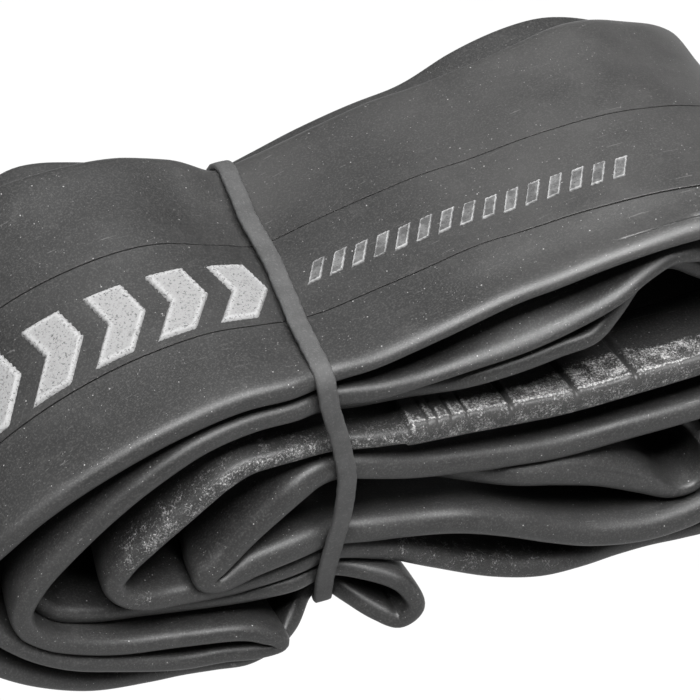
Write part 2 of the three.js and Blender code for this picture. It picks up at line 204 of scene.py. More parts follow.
def closed_spline(points, steps):
    """A centripetal Catmull-Rom curve through a closed ring of points, with a number of steps after each."""
    ring = [np.asarray(points, float)[(np.arange(len(points)) + k) % len(points)] for k in (-1, 0, 1, 2)]
    curve = []
    for p0, p1, p2, p3, count in zip(*ring, steps):
        t1 = np.linalg.norm(p1 - p0) ** 0.5
        t2 = t1 + np.linalg.norm(p2 - p1) ** 0.5
        t3 = t2 + np.linalg.norm(p3 - p2) ** 0.5
        t = (t1 + (t2 - t1) * np.arange(count) / count)[:, None]
        a1 = (t1 - t) / t1 * p0 + t / t1 * p1
        a2 = (t2 - t) / (t2 - t1) * p1 + (t - t1) / (t2 - t1) * p2
        a3 = (t3 - t) / (t3 - t2) * p2 + (t - t2) / (t3 - t2) * p3
        b1 = (t2 - t) / t2 * a1 + t / t2 * a2
        b2 = (t3 - t) / (t3 - t1) * a2 + (t - t1) / (t3 - t1) * a3
        curve.append((t2 - t) / (t2 - t1) * b1 + (t - t1) / (t2 - t1) * b2)
    return np.concatenate(curve)


def ring_average(values, reach, width):
    """Values round a closed ring, averaged under a bump that reaches a number of steps to either side."""
    kernel = bump(np.arange(-reach, reach + 1), 0, width)
    kernel /= kernel.sum()
    return sum(k * np.roll(values, i - reach, 0) for i, k in enumerate(kernel))


def ring_direction(points):
    """The unit direction along a closed ring, at each of its points."""
    along = np.roll(points, -1, 0) - np.roll(points, 1, 0)
    return along / np.linalg.norm(along, axis=1, keepdims=True)


def new_object(name, data):
    made = bpy.data.objects.new(name, data)
    bpy.context.scene.collection.objects.link(made)
    return made


def mesh_object(name, vertices, faces, material):
    mesh = bpy.data.meshes.new(name)
    mesh.from_pydata([tuple(v) for v in vertices], [], faces)
    mesh.update()
    mesh.polygons.foreach_set("use_smooth", [True] * len(mesh.polygons))
    mesh.materials.append(material)
    return new_object(name, mesh)


def grid_faces(rows, columns, close_rows, close_columns):
    """Quads over a grid of vertices, joined round on itself either way."""
    faces = []
    for i in range(rows if close_rows else rows - 1):
        for j in range(columns if close_columns else columns - 1):
            a = i * columns + j
            b = i * columns + (j + 1) % columns
            c = ((i + 1) % rows) * columns + (j + 1) % columns
            d = ((i + 1) % rows) * columns + j
            faces.append((a, b, c, d))
    return faces


def add_attribute(obj, name, values):
    layer = obj.data.attributes.new(name, "FLOAT", "POINT")
    layer.data.foreach_set("value", np.asarray(values, float).ravel())


# ---------- the folded tube


def around(plain, marked):
    """Values on the plain face and back along the marked one, without the two edges that they share."""
    return np.concatenate([plain, marked[:, -2:0:-1]], axis=1)


class Tube:
    """The pressed tube as a grid: a row for each station along the ring, a column for each step across."""

    def __init__(self):
        stations = [point for points in FOLD.values() for point in points]
        names = [name for name, points in FOLD.items() for _ in points]
        steps = []
        for name, (x, _, _) in zip(names, stations):
            creased = name == "splice" and CREASED_X[0] < x < CREASED_X[1]
            steps.append(CREASED_STEPS if creased else STEPS)
        self.line = closed_spline(stations, steps)
        self.strand = np.repeat(np.array(names), steps)
        self.x = self.line[:, 0]
        step = np.linalg.norm(np.roll(self.line, -1, 0) - self.line, axis=1)
        self.length = step.sum()
        self.along = np.concatenate([[0], np.cumsum(step)[:-1]])
        start = self.station("top", 0, 0)
        self.along -= np.interp(start, np.arange(len(step)), self.along)
        self.widths = self.warped_widths()
        self.middle = self.mid_surface()
        self.normal = self.normals()
        marked_half = self.half_thickness(-1) + self.relief()
        self.marked = self.middle - self.normal * marked_half[..., None]
        self.plain = self.middle + self.normal * self.half_thickness(1)[..., None]
        for face in (self.marked, self.plain):
            face[..., 2] = np.maximum(face[..., 2], 0)

    def on(self, strand):
        """A column that is true in the rows of one strand."""
        return (self.strand == strand)[:, None]

    def station(self, strand, axis, value):
        """The fractional row where a strand crosses a value of x (axis 0) or z (axis 1)."""
        rows = np.flatnonzero(self.strand == strand)
        values = self.line[rows, axis]
        order = np.argsort(values)
        return np.interp(value, values[order], rows[order])

    def drift(self):
        """The seams wander towards the front edge where the top strand climbs to the valve end."""
        return -6.4 * bump(self.along, -80, 50)

    def warped_widths(self):
        """Distances from the front edge, with columns that follow the seams."""
        tip = WIDEST_BEAD * (1 - np.cos(np.linspace(0, np.pi / 2, 11)))
        rest = [3.2, 4, 5, 6.2, 7.6, 9.2, 11, 12.6]
        seams = [seam + column for seam in SEAMS for column in SEAM_COLUMNS]
        between = [17, 20, 23, 26, 29, 32, 37, 40, 43]
        far = LAY_FLAT - np.concatenate([tip, rest])
        samples = np.unique(np.round(np.concatenate([tip, rest, seams, between, far]), 4))
        drift = self.drift()[:, None]
        inside = ease(2, 8, samples) * ease(LAY_FLAT - 2, LAY_FLAT - 10, samples)
        return samples[None, :] + drift * inside[None, :]

    def smoothed(self, values, spread):
        """Values along the ring, averaged over a spread of millimetres to either side."""
        count = int(3 * spread / (self.length / len(values))) + 1
        return ring_average(values, count, count / 2)

    def local(self, table):
        """Millimetres that a table gives to a few strands, each about one X."""
        x = self.x[:, None]
        amounts = [amount * self.on(name) * bump(x, centre, reach) for name, amount, centre, reach in table]
        return self.smoothed(sum(amounts), 2)

    def lean(self):
        """How far the loose strands climb behind their front edge."""
        reach = np.where(self.on("inner_loop"), 4.5, 9)
        return self.local(LEANS) * ease(0.4, reach, self.widths) * ease(57, 30, self.widths)

    def hollow(self):
        """The top strand's dip and swelling left of the band, and the trough along its front edge."""
        x = self.x[:, None]
        dip = -1.5 * bump(x, -7, 6) * bump(self.widths, 42, 9)
        swelling = 0.9 * bump(x, -19, 7) * bump(self.widths, 40, 8)
        trough = 0.45 * ease(16, 30, x) * (bump(self.widths, 11, 4) - bump(self.widths, 6, 2.6))
        return self.on("top") * (dip + swelling + trough)

    def mid_surface(self):
        """The surface midway between the two pressed walls, with the bundle squeezed where the band is."""
        across = self.widths / LAY_FLAT
        x, z, along = self.line[:, 0:1], self.line[:, 1:2], self.along[:, None]
        front = self.line[:, 2:3] - FRONT_EDGE
        height = z / USUAL_HEIGHT
        rise = self.smoothed(np.interp(self.x, *zip(*BACK_RISE)), 3)[:, None] * height * across
        crown = 1.3 * height * np.sin(np.pi * across) * (1 - 0.6 * bump(x, 0, 6))
        shift = -1.5 * np.sin(x / 21.0) * across * (1 - across)
        pinch = (0.5 + 2.2 * ((z - 33) / 25) ** 4) * bump(x, 0, 4.5)
        back = front + LAY_FLAT - 0.45 * (front + 30.6) - 2 * pinch
        spread = self.local(BACK_REACH) * across**4
        wander = 0.5 * np.sin(along / 17.0) + 0.3 * np.sin(along / 7.3 + 1)
        y = front + pinch + (back - front) * across + wander * across**3 + spread
        up = z + rise + crown + self.lean() + self.hollow() + 0.4 * np.maximum(spread, 0)
        return np.stack([x + shift + 0 * y, y, up], -1)

    def normals(self):
        along = np.roll(self.middle, -1, 0) - np.roll(self.middle, 1, 0)
        across = np.gradient(self.middle, axis=1)
        normal = np.cross(along, across)
        return normal / np.linalg.norm(normal, axis=-1, keepdims=True)

    def room(self, width, side):
        """Half the free distance from each station to the next strand on a side, so deep from the front."""
        points = self.line[:, :2]
        offset = points[None] - points[:, None]
        gap = np.linalg.norm(offset, axis=-1) + 1e-6
        along = ring_direction(points)
        normal = side * np.stack([-along[:, 1], along[:, 0]], 1)
        facing = (offset * normal[:, None]).sum(-1) > 0.5 * gap
        apart = np.abs(self.along[:, None] - self.along[None])
        apart = np.minimum(apart, self.length - apart)
        behind = self.line[None, :, 2] > self.line[:, None, 2] + width + 0.6
        gap[(apart < 3.4) | behind | ~facing] = 99
        return self.smoothed(np.minimum(gap.min(1) / 2, 4), 0.6) - 0.05

    def half_thickness(self, side):
        """Rounded folds at both edges, flat between, and never wider than the room between strands."""
        x = self.x[:, None]
        edge = np.minimum(self.widths, LAY_FLAT - self.widths)
        depths = np.array([0, 1.6, 3.2, 4.8, 6.4, 8])
        rooms = np.stack([self.room(depth, side) for depth in depths], 1)
        room = np.stack([np.interp(edge[i], depths, rooms[i]) for i in range(len(edge))])
        # The inner loop's end is pressed thin, and the splice is thinner where it doesn't overlap.
        wanted = np.array([[BEAD[name]] for name in self.strand])
        wanted = self.smoothed(wanted * (1 - 0.6 * self.on("inner_loop") * ease(51, 56, x)), 4)
        single = self.on("splice") * (x < SPLICE_X) * ease(-26, -6, x)
        bead = np.minimum(wanted, rooms[:, 0:1]) * (1 - 0.24 * single)
        # The overlap has squarer edges, and two strands right of the band have softer and thinner ones.
        squared = self.on("splice") * ease(SPLICE_X - 1, SPLICE_X, x) * (x > 0)
        if side > 0:
            squared = self.smoothed(squared, 1)
        soft = self.smoothed(self.on("top") * ease(-4, 4, x) + self.on("third") * ease(5, 14, x), 3)
        bead = bead * (1 - 0.22 * soft * ease(60, 46, x))
        power = 2.4 + 1.2 * squared - 0.5 * soft
        length = bead * (1.2 - 0.15 * squared + 0.55 * soft)
        tip = bead * (1 - (1 - np.minimum(edge / length, 1)) ** power) ** (1 / power)
        swell = np.maximum(bead - FLAT_HALF, 0) * bump(np.maximum(edge - length, 0), 0, 6.5)
        half = np.where(edge < length, tip, FLAT_HALF + swell)
        return np.minimum(half, np.maximum(room, 0.7))

    def in_groove(self, margin):
        """Which points lie in the two parting lines of the mould, give or take a margin."""
        behind = self.widths - self.drift()[:, None]
        low, high = [(behind > seam - margin) & (behind < seam + SEAM_WIDTH + margin) for seam in SEAMS]
        return low | high

    def from_crease(self, crease):
        """The distance along X from a crease, which slants as it runs back."""
        return self.x[:, None] - crease + CREASE_SLANT * np.clip(self.widths - 1, 0, CREASE_REACH)

    def relief(self):
        """Height added to the marked face: parting lines, the splice's overlap, its creases and its nicks."""
        x = self.x[:, None]
        lift = 0.6 * ease(SPLICE_X - 0.06, SPLICE_X + 0.06, x) * ease(70, 50, x)
        for crease in CREASES:
            bent = self.from_crease(crease)
            fold = 0.16 * (bump(bent, -0.8, 0.4) + bump(bent, 0.8, 0.4)) - 0.6 * bump(bent, 0, 0.36)
            lift = lift + fold * ease(14, CREASE_REACH, self.widths)
        for scratch in SCRATCHES:
            lift = lift - 0.34 * ease(6, 4, self.widths) * bump(x, scratch, 0.24)
        return lift * self.on("splice") - 0.4 * self.in_groove(0.01)

    def point(self, row, width, lift):
        """A point over the marked face, at a fractional row and a distance from the front edge."""
        low = int(math.floor(row)) % len(self.line)
        blend = row - math.floor(row)
        made = []
        for i in (low, (low + 1) % len(self.line)):
            column = np.interp(width, self.widths[i], np.arange(self.widths.shape[1]))
            j = min(int(column), self.widths.shape[1] - 2)
            k = column - j
            surface = self.marked[i, j] * (1 - k) + self.marked[i, j + 1] * k
            normal = self.normal[i, j] * (1 - k) + self.normal[i, j + 1] * k
            made.append(surface - normal * lift)
        return made[0] * (1 - blend) + made[1] * blend

    def talc_and_highlight(self):
        """Where talc is left: heavy on the splice's front edge, light on a few other folded edges; and a
        painted highlight just after the overlap's step.
        """
        x = self.x[:, None]
        w = self.widths
        joined = self.on("splice") * ease(SPLICE_X - 0.3, SPLICE_X + 0.3, x)
        depth = np.interp(x, [12, 28, 33, 39, 49, 54, 70], [3.6, 4.4, 5.2, 6.4, 7.2, 5.6, 5.0])
        on_face = ease(0.5, 1.1, w) * ease(depth + 1.2, depth - 0.8, w)
        shoulder = bump(w, 1.05, 0.28) * ease(70, 52, x)
        marked = joined * (np.maximum(0.62 * on_face, 1.3 * shoulder) + 0.42 * ease(0.8, 0.4, w))
        # The talc is cleared along each crease, so the creases show dark.
        for crease in CREASES:
            marked = marked * (1 - bump(self.from_crease(crease), 0, 0.45))
        for scratch in SCRATCHES:
            beside = joined * bump(x, scratch + 0.5, 0.2) * on_face
            marked = marked * (1 - 0.8 * bump(x, scratch, 0.22)) + 0.3 * beside
        # A painted highlight: a thin bright line in the talc's colour just after the overlap's step.
        marked = marked + 0.6 * joined * bump(x, SPLICE_X + 0.45, 0.25) * ease(4, 3, w)
        near_band = self.on("splice") * ease(-36, -30, x) * ease(SPLICE_X + 0.3, SPLICE_X - 0.3, x)
        marked = marked + near_band * np.maximum(0.5 * ease(1.6, 0.5, w), 0.36 * ease(8, 2, w))
        plain = 0.5 * (joined + near_band) * ease(3, 1, w)
        dusting = 0.36 * self.on("talc") * ease(4, 10, x) * ease(60, 26, x) * ease(9, 3, w)
        return marked + dusting, plain + dusting

    def painted_sheen_and_haze(self):
        """A lighter film: painted sheen on the top strand, right of the band, and a talc haze under the
        splice's talc.
        """
        x = self.x[:, None]
        by_band = bump(x, 7, 13) * ease(30, 44, self.widths)
        on_top = self.on("top") * np.maximum(ease(16, 38, x), 0.9 * by_band)
        joined = self.on("splice") * ease(SPLICE_X - 0.1, SPLICE_X + 0.1, x)
        return on_top + 1.2 * joined * ease(3.4, 0.9, self.widths)

    def build(self, material):
        """The plain face followed by the marked one, back to front, so that each row is a closed loop."""
        ring = around(self.plain, self.marked)
        rows, columns = ring.shape[:2]
        faces = [face[::-1] for face in grid_faces(rows, columns, True, True)]
        body = mesh_object("folded_tube", place(ring.reshape(-1, 3)), faces, material)
        grooved = self.in_groove(0.05)
        grooved = around(np.zeros_like(grooved), grooved).ravel()
        body.data.polygons.foreach_set("use_smooth", ~grooved[np.array(faces)].all(1))
        marked, plain = self.talc_and_highlight()
        add_attribute(body, "talc_and_highlight", np.clip(around(plain, marked), 0, 1))
        # The painted sheen and the talc haze go on the marked face only.
        painted_sheen_and_haze = self.painted_sheen_and_haze()
        add_attribute(body, "painted_sheen_and_haze", around(0 * painted_sheen_and_haze, painted_sheen_and_haze))
        return body


# ---------- raised marks on the top strand


def mark_shape(tube, x, width, thick, tall, reach, slant, height):
    """A closed raised bar with a raised rim on the top strand, bent into an arrowhead by its reach."""
    rows = np.linspace(-1, 1, 49)
    columns = np.linspace(0, 1, 21)
    vertices, rims = [], []
    for sunken in (False, True):
        for a in rows:
            for b in columns:
                edge = min((1 - abs(a)) * tall / 2, b * thick, (1 - b) * thick)
                rim = bump(edge, 0.1 * thick, 0.06 * thick)
                rims.append(rim)
                raised = ease(0, 0.08 * thick, edge) + 0.3 * rim
                lift = -0.25 if sunken else height * raised - 0.03
                ragged = 0.07 * math.sin(3.1 * a * tall + x)
                ragged += 0.05 * math.sin(7.7 * (a * tall + b * thick) + 2 * x)
                mark_x = x + b * thick - abs(a) * reach + a * slant + ragged
                row = tube.station("top", 0, mark_x)
                vertices.append(tube.point(row, width + a * tall / 2 + ragged, lift))
    wide = len(columns)
    count = len(rows) * wide
    top = grid_faces(len(rows), wide, False, False)
    under = [tuple(count + v for v in reversed(face)) for face in top]
    border = list(range(wide))
    border += range(2 * wide - 1, count, wide)
    border += range(count - 2, count - wide - 1, -1)
    border += range(count - 2 * wide, 0, -wide)
    wall = []
    for i, a in enumerate(border):
        b = border[(i + 1) % len(border)]
        wall.append((b, a, count + a, count + b))
    return vertices, top + under + wall, rims


def build_marks(tube, material):
    """Raised arrowheads on one side of the band, and a row of small slanted and worn bars on the other."""
    vertices, faces, rims, worn = [], [], [], []
    shapes = [(-46.0 + 9.5 * i, 22.2, ARROWHEAD, 0.0) for i in range(5)]
    shapes += [(5.4 + 3.3 * i, 23.0 - 0.43 * i, BAR, 1.0) for i in range(15)]
    for x, width, shape, wear in shapes:
        made, made_faces, made_rims = mark_shape(tube, x, width, **shape)
        faces += [tuple(len(vertices) + v for v in face) for face in made_faces]
        vertices += made
        rims += made_rims
        worn += [wear] * len(made)
    marks = mesh_object("raised_marks", place(vertices), faces, material)
    add_attribute(marks, "rim", rims)
    add_attribute(marks, "worn", worn)
    return marks


# ---------- the rubber band


def convex_loop(points):
    """The convex outline of points in a plane, turning left."""
    ordered = sorted(map(tuple, points))
    halves = []
    for run in (ordered, ordered[::-1]):
        chain = []
        for p in run:
            while len(chain) > 1:
                (ax, ay), (bx, by) = chain[-2], chain[-1]
                if (bx - ax) * (p[1] - ay) - (by - ay) * (p[0] - ax) > 0:
                    break
                chain.pop()
            chain.append(p)
        halves += chain[:-1]
    return np.array(halves)


def resampled(loop, count):
    closed = np.concatenate([loop, loop[:1]])
    steps = np.linalg.norm(np.diff(closed, axis=0), axis=1)
    along = np.concatenate([[0], np.cumsum(steps)])
    at = np.linspace(0, along[-1], count, endpoint=False)
    return np.stack([np.interp(at, along, closed[:, k]) for k in range(2)], 1)


def band_swing(y, z):
    """How far the band strays sideways from its middle, on its way round the bundle."""
    on_front = ease(-22, -27, y)
    on_top = ease(20, 52, z) * (1 - on_front)
    front = 0.05 + 1.45 * np.cos((z - 34) / 7.0)
    return on_front * front + on_top * (3.0 - 1.9 * ease(27, 4, y) - 2.5 * ease(4, -27, y))


def build_band(tube, material):
    """The band is stretched straight from one outermost strand to the next round the bundle's waist."""
    near = np.concatenate([tube.plain.reshape(-1, 3), tube.marked.reshape(-1, 3)])
    near = near[np.abs(near[:, 0] - band_swing(near[:, 1], near[:, 2])) < 1.9]
    path = ring_average(resampled(convex_loop(near[:, 1:]), 260), 7, 3.2)
    tangent = ring_direction(path)
    outward = np.stack([tangent[:, 1], -tangent[:, 0]], 1)
    x = band_swing(path[:, 0], path[:, 1])
    turn = np.arange(len(path)) * 2 * np.pi / len(path)
    ragged = 0.03 * np.sin(61 * turn) + 0.03 * np.sin(97 * turn + 1) + 0.04 * np.sin(23 * turn + 2)
    half, thick, corner = BAND_WIDTH / 2, BAND_THICKNESS, 0.2
    section = [
        (-half, corner), (-half + corner, 0), (-half / 2, 0), (0, 0), (half / 2, 0), (half - corner, 0),
        (half, corner), (half, thick - corner), (half - corner, thick), (half / 2, thick + 0.06),
        (0, thick + 0.08), (-half / 2, thick + 0.06), (-half + corner, thick), (-half, thick - corner),
    ]
    vertices = []
    for i in range(len(path)):
        for k, (across, out) in enumerate(section):
            edge = 1 if abs(across) > half * 0.7 else 0
            wobble = 1 + edge * (ragged[i] if across > 0 else ragged[i - 40]) / half
            lift = 0.05 + out + 0.02 * math.sin(i * 1.7 + k * 2.1)
            vertices.append((x[i] + across * wobble, *(path[i] + outward[i] * lift)))
    faces = grid_faces(len(path), len(section), True, True)
    return mesh_object("stretched_band", place(vertices), faces, material)


# ---------- the valve


def on_valve(radius, angle, u):
    """A point round the valve's axis, with U measured from the tube's wall."""
    return (WALL_FACE + u, radius * math.cos(angle), VALVE_HEIGHT + radius * math.sin(angle))


def turned(name, profile, material, sides=72, radius_at=None):
    """A turned piece from a closed profile of (radius, U), going out over the top and back down the bore."""
    vertices = []
    for radius, u in profile:
        for k in range(sides):
            angle = 2 * math.pi * k / sides
            r = radius_at(radius, angle, u) if radius_at else radius
            vertices.append(on_valve(r, angle, u))
    faces = grid_faces(len(profile), sides, True, True)
    return mesh_object(name, place(vertices), faces, material)


def arc(centre_r, centre_u, radius, start, end, count):
    """Profile points round an arc; angles in degrees from +radius towards +U."""
    angles = np.radians(np.linspace(start, end, count))
    return [(centre_r + radius * math.cos(a), centre_u + radius * math.sin(a)) for a in angles]


def build_patch(tube, material):
    """An oval sheet bonded to the wall and following its curve, thick at the stem, feathered at its edge."""
    centre = tube.station("valve_wall", 1, VALVE_HEIGHT)
    nearest = int(centre)
    spacing = np.gradient(tube.along)[nearest]
    rings, spokes = 14, 64
    half_length, half_width = 17, 8.5
    thick, feather, sunken = 1.3, 0.12, -0.06
    middle = np.interp(0, tube.middle[nearest, :, 1], tube.widths[nearest])
    vertices = []
    for under in (False, True):
        for i in range(1, rings + 1):
            reach = i / rings
            for k in range(spokes):
                angle = 2 * math.pi * k / spokes
                row = centre + half_length * reach * math.sin(angle) / spacing
                width = middle + half_width * reach * math.cos(angle)
                from_stem = reach * (1 - 0.45 * abs(math.cos(angle)))
                pad = thick - 0.35 * ease(0.42, 0.55, from_stem)
                edge = ease(1.0, 0.86, reach)
                lift = sunken if under else feather + (pad - feather) * edge
                vertices.append(tube.point(row, width, lift))
    count = rings * spokes
    vertices.append(tube.point(centre, middle, thick))
    vertices.append(tube.point(centre, middle, sunken))
    top = grid_faces(rings, spokes, False, True)
    faces = [face[::-1] for face in top]
    faces += [tuple(count + v for v in face) for face in top]
    for k in range(spokes):
        after = (k + 1) % spokes
        faces.append((2 * count, after, k))
        faces.append((2 * count + 1, count + k, count + after))
        rim, rim_after = count - spokes + k, count - spokes + after
        faces.append((rim, rim_after, count + rim_after, count + rim))
    return mesh_object("bonded_patch", place(vertices), faces, material)


def build_stem_cover(material):
    """The moulded rubber round the stem: a flared foot, a tapered root and two shallow rings near the top."""
    foot = [(3.65, 1.25), (7.7, 1.25), (7.75, 1.55)]
    flare = [(7.6 - 2.3 * t**0.55, 1.7 + 3.4 * t**1.6) for t in np.linspace(0, 1, 9)]
    root = [(5.22 - 0.82 * t, 5.4 + 17.2 * t) for t in np.linspace(0, 1, 10)]
    rings = []
    for low in (20.4, 21.8):
        rings += [(4.48, low), (4.62, low + 0.25), (4.62, low + 0.65), (4.46, low + 0.9)]
    top = [(4.4, 23.6), (4.36, 24.1), (4.12, 24.45), (3.65, 24.5)]
    bore = [(3.6, 24.3), (3.6, 12), (3.6, 1.6)]
    below_rings = [point for point in root if point[1] < 20.2]
    return turned("moulded_stem", foot + flare + below_rings + rings + top + bore, material)


def thread_depth(angle, u):
    """How deep a right-handed thread is cut at a point, from 0 on its crest to 1 at its root."""
    return abs(2 * ((u / THREAD_PITCH - angle / (2 * math.pi)) % 1) - 1)


def build_threaded_insert(material):
    """The brass stem with its rolled thread, a chamfered mouth and the core's tapered seat inside."""
    root, crest = 3.42, 3.85
    low, top = 24.8, 34.3

    def threaded(radius, angle, u):
        if radius < crest or not low < u < top:
            return radius
        fade = ease(low, low + 0.5, u) * ease(top, top - 0.6, u)
        return crest - (crest - root) * (thread_depth(angle, u) * fade)

    foot = [(2.4, 1.9), (3.3, 1.9), (3.3, 2.4), (3.3, 24.5), (3.45, low)]
    threads = [(crest, u) for u in np.arange(low + 0.1, top - 0.1, THREAD_PITCH / 8)]
    mouth = [(root, top), (3.3, 34.5), (2.8, 34.5), (2.7, 34.4)]
    bore = [(2.7, 30), (2.7, 24), (2.4, 22), (2.4, 10)]
    return turned("threaded_stem", foot + threads + mouth + bore, material, 64, threaded)


def build_cap(material):
    """The dust cap: twenty rounded grip ribs, a rounded top with a shallow dish and a threaded bore."""
    outer, inner = 5.2, 4.15
    ribs_low, ribs_top, ribs = 26.3, 36.4, 20
    bore_low, bore_top = 26, 35

    def shaped(radius, angle, u):
        if radius > 4.75 and ribs_low < u < ribs_top:
            fade = ease(ribs_low, ribs_low + 0.6, u) * ease(ribs_top, ribs_top - 0.8, u)
            wave = abs(math.cos(ribs / 2 * angle)) ** 0.7
            return radius - 0.36 * fade * (1 - wave)
        if radius == inner and bore_low < u < bore_top:
            return radius - 0.14 * thread_depth(angle, u)
        return radius

    skirt = [(4.25, 25.2), (4.95, 25.2), (5.12, 25.3), (outer, 25.5), (outer, 26.2)]
    wall = [(outer, u) for u in np.linspace(ribs_low + 0.1, ribs_top - 0.1, 34)]
    shoulder = arc(4.0, 36.6, 1.2, 10, 88, 9)
    dish = [(3.5, 37.76), (3.1, 37.5), (2.4, 37.42), (1.2, 37.4), (0.02, 37.4)]
    roof = [(0.02, 36.0), (2.0, 36.0), (4.0, 36.0), (inner, 35.9)]
    bore = [(inner, u) for u in np.arange(bore_top, bore_low, -THREAD_PITCH / 6)] + [(inner, 25.6)]
    profile = skirt + wall + shoulder + dish + roof + bore
    return turned("ribbed_cap", profile, material, 160, shaped)


def build_ring(name, bore, radius, low, top, material):
    """A washer with rounded edges."""
    soft = min(0.25, (top - low) * 0.3, (radius - bore) * 0.3)
    profile = arc(radius - soft, low + soft, soft, -90, 0, 4)
    profile += arc(radius - soft, top - soft, soft, 0, 90, 4)
    profile += arc(bore + soft, top - soft, soft, 90, 180, 4)
    profile += arc(bore + soft, low + soft, soft, 180, 270, 4)
    return turned(name, profile, material, 48)


def build_spring(material):
    """The core's spring, a round wire wound eight times and cut square at both ends."""
    low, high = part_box("core_spring")
    wire, turns, steps, sides = 0.15 * MM, 8, 288, 10
    radius = (high[1] - low[1]) / 2 - wire
    middle = np.array([0, low[1] + high[1], low[2] + high[2]]) / 2
    rise = high[0] - low[0] - 2 * wire
    lean = rise / (turns * 2 * math.pi * radius)
    vertices = []
    for i in range(steps + 1):
        turn = 2 * math.pi * turns * i / steps
        outward = np.array([0, math.cos(turn), math.sin(turn)])
        along = np.array([1, lean * math.sin(turn), -lean * math.cos(turn)])
        centre = middle + outward * radius
        centre[0] = low[0] + wire + rise * i / steps
        for k in range(sides):
            angle = 2 * math.pi * k / sides
            vertices.append(centre + wire * (math.cos(angle) * outward - math.sin(angle) * along))
    faces = grid_faces(steps + 1, sides, False, True)
    faces += [tuple(range(sides))[::-1], tuple(range(steps * sides, (steps + 1) * sides))]
    return mesh_object("core_coil", vertices, faces, material)


# ---------- materials


class Paint:
    """A node material with short ways to add and join nodes. Its plain roughness holds until it is linked."""

    def __init__(self, name, roughness, metallic=0.0):
        self.material = bpy.data.materials.new(name)
        self.material.use_nodes = True
        self.nodes = self.material.node_tree.nodes
        self.links = self.material.node_tree.links
        self.shader = self.nodes["Principled BSDF"]
        self.shader.inputs["Roughness"].default_value = roughness
        self.shader.inputs["Metallic"].default_value = metallic
        self.coordinates = self.nodes.new("ShaderNodeTexCoord").outputs["Object"]

    def join(self, source, target):
        """Link a socket to another, or set it to a number or a colour."""
        if isinstance(source, (int, float, tuple)):
            target.default_value = source
        else:
            self.links.new(source, target)

    def noise(self, per_mm, detail=3.0, rough=0.55, stretch=None):
        """Cloudy noise about 0.5, with a number of features to the millimetre."""
        vector = self.coordinates
        if stretch:
            mapping = self.nodes.new("ShaderNodeMapping")
            mapping.inputs["Scale"].default_value = stretch
            self.links.new(vector, mapping.inputs["Vector"])
            vector = mapping.outputs[0]
        node = self.nodes.new("ShaderNodeTexNoise")
        node.inputs["Scale"].default_value = per_mm / MM
        node.inputs["Detail"].default_value = detail
        node.inputs["Roughness"].default_value = rough
        self.links.new(vector, node.inputs["Vector"])
        return node.outputs[0]

    def specks(self, spacing_mm, radius_mm):
        """Small round specks, one to a cell."""
        node = self.nodes.new("ShaderNodeTexVoronoi")
        node.inputs["Scale"].default_value = 1 / (spacing_mm * MM)
        self.links.new(self.coordinates, node.inputs["Vector"])
        ratio = radius_mm / spacing_mm
        return self.ramp(node.outputs["Distance"], ratio, ratio * 0.6)

    def ramp(self, value, low, high):
        """0 at low and 1 at high, smooth between."""
        node = self.nodes.new("ShaderNodeMapRange")
        node.interpolation_type = "SMOOTHSTEP"
        self.join(value, node.inputs["Value"])
        node.inputs["From Min"].default_value = low
        node.inputs["From Max"].default_value = high
        return node.outputs["Result"]

    def math(self, operation, a, b):
        node = self.nodes.new("ShaderNodeMath")
        node.operation = operation
        node.use_clamp = operation == "ADD"
        self.join(a, node.inputs[0])
        self.join(b, node.inputs[1])
        return node.outputs[0]

    def times(self, a, b):
        return self.math("MULTIPLY", a, b)

    def plus(self, a, b):
        return self.math("ADD", a, b)

    def mix(self, factor, a, b):
        node = self.nodes.new("ShaderNodeMix")
        node.data_type = "RGBA"
        colours = {socket.name: socket for socket in node.inputs if socket.type == "RGBA"}
        self.join(factor, node.inputs["Factor"])
        self.join(a, colours["A"])
        self.join(b, colours["B"])
        return next(socket for socket in node.outputs if socket.type == "RGBA")

    def attribute(self, name):
        node = self.nodes.new("ShaderNodeAttribute")
        node.attribute_name = name
        return node.outputs["Fac"]

    def colour(self, value):
        self.join(value, self.shader.inputs["Base Color"])

    def roughness(self, value, low, high):
        """Roughness from low to high as a value goes from 0 to 1."""
        node = self.nodes.new("ShaderNodeMapRange")
        self.join(value, node.inputs["Value"])
        node.inputs["To Min"].default_value = low
        node.inputs["To Max"].default_value = high
        self.links.new(node.outputs["Result"], self.shader.inputs["Roughness"])

    def bump(self, value, depth_mm):
        """Relief of a depth, added to what is there."""
        node = self.nodes.new("ShaderNodeBump")
        node.inputs["Distance"].default_value = depth_mm * MM
        self.join(value, node.inputs["Height"])
        if self.shader.inputs["Normal"].is_linked:
            self.links.new(self.shader.inputs["Normal"].links[0].from_socket, node.inputs["Normal"])
        self.links.new(node.outputs[0], self.shader.inputs["Normal"])


def grey(value, warm=0.0):
    """A linear grey, a little towards orange."""
    return (value * (1 + warm), value, value * (1 - warm), 1)


